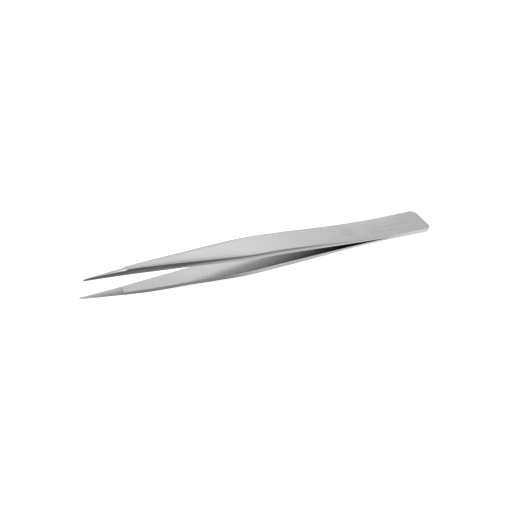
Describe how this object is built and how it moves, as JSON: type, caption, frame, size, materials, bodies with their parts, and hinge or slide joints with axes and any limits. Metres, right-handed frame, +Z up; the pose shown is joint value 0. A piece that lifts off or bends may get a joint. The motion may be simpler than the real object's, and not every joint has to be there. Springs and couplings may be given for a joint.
{
  "type": "precision tweezers",
  "caption": "Fine-point precision tweezers: slim bowed steel strips joined at a flat heel, springing open, for picking up and placing small parts.",
  "frame": {"origin": "bottom centre of the bounding box, on the surface that the tweezers lie on", "axes": "+X from the points to the heel, +Y across the strips, +Z up; the tweezers lie at rest on the lower strip's belly and the heel's rear edge, so their middle plane rises 2.73 degrees towards the points"},
  "size_m": [0.1201, 0.01, 0.0101],
  "materials": {
    "satin_steel": "satin ground stainless steel, fine grinding lines along the strip",
    "weld_steel": "matt fused steel, hidden between the strips"
  },
  "bodies": {
    "root": {"upper_heel": "satin_steel", "lower_heel": "satin_steel", "weld_nuggets": "weld_steel"},
    "upper_arm": {"upper_point": "satin_steel", "upper_jaw": "satin_steel", "upper_spring": "satin_steel"},
    "lower_arm": {"lower_point": "satin_steel", "lower_jaw": "satin_steel", "lower_spring": "satin_steel"}
  },
  "joints": [
    {"name": "upper_arm_flex", "type": "hinge", "parent": "root", "child": "upper_arm", "pos_m": [0.03599, 0, 0.0023], "axis": [0, -1, 0], "range_deg": [0, 1.69], "stiffness_Nm_per_rad": 2},
    {"name": "lower_arm_flex", "type": "hinge", "parent": "root", "child": "lower_arm", "pos_m": [0.03593, 0, 0.00118], "axis": [0, 1, 0], "range_deg": [0, 1.69], "stiffness_Nm_per_rad": 2}
  ]
}
